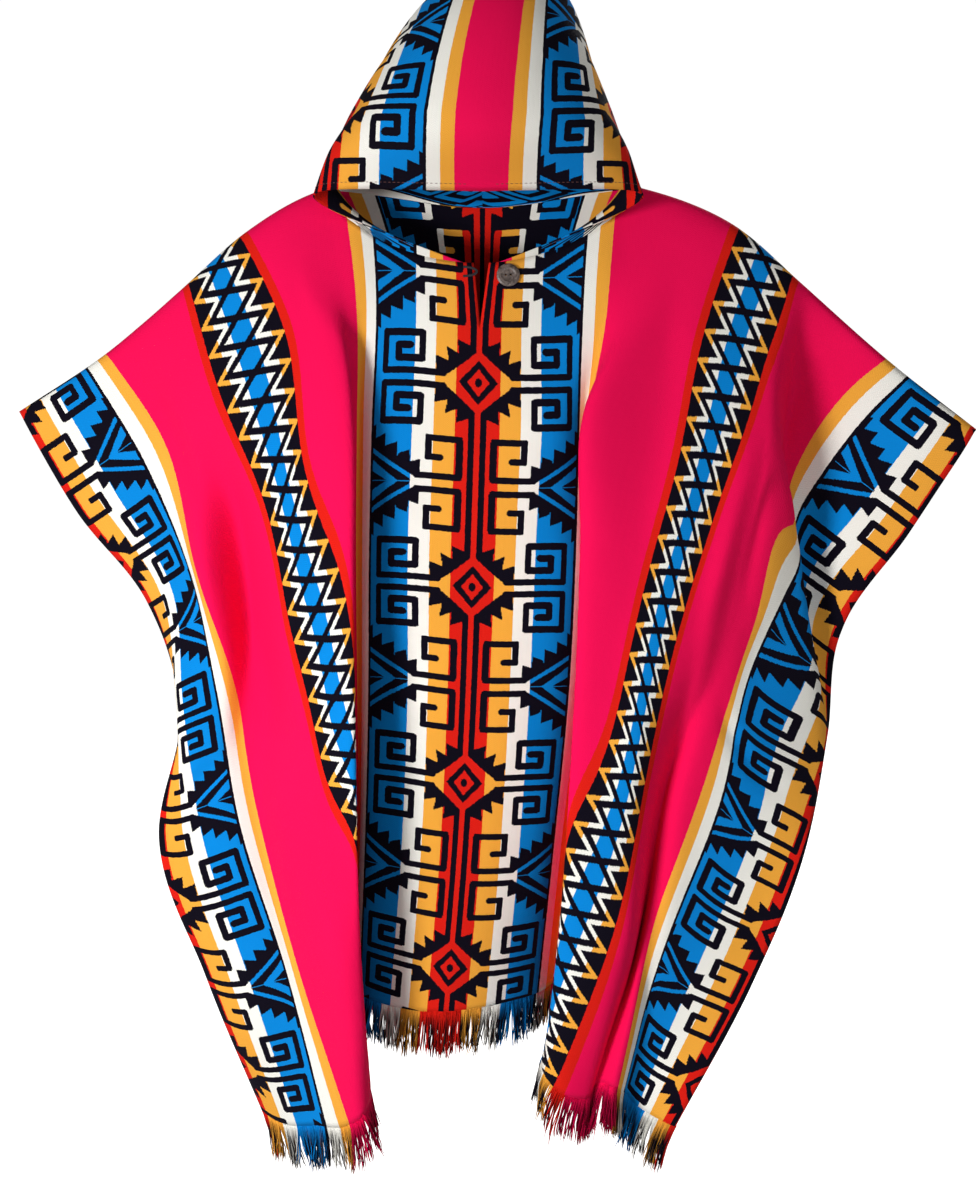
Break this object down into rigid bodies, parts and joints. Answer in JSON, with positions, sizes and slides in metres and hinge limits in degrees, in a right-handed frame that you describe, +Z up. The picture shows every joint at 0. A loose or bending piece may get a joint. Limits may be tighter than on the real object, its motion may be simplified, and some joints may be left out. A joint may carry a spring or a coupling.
{
  "type": "hooded poncho",
  "caption": "Hooded pullover poncho of striped, patterned woven cloth with a buttoned neck slit and fringed hems, hung by its shoulders and filled out",
  "frame": {"origin": "middle of the shoulders, in the neck: the point where a wearer or a hanger carries the poncho", "axes": "+Z up, the front faces -Y, the wearer's left sleeve is at +X"},
  "size_m": [0.9445, 0.3047, 1.234],
  "materials": {
    "front": "woven, matt",
    "back": "woven, matt",
    "hood_left": "woven, matt",
    "hood_right": "woven, matt",
    "fringe_front": "loose yarn",
    "fringe_back": "loose yarn",
    "button": "polished coconut shell",
    "button_loop": "cord"
  },
  "bodies": {
    "root": {"front": "front", "back": "back", "hood_left": "hood_left", "hood_right": "hood_right", "fringe_front": "fringe_front", "fringe_back": "fringe_back", "button": "button", "button_loop": "button_loop"}
  },
  "joints": []
}
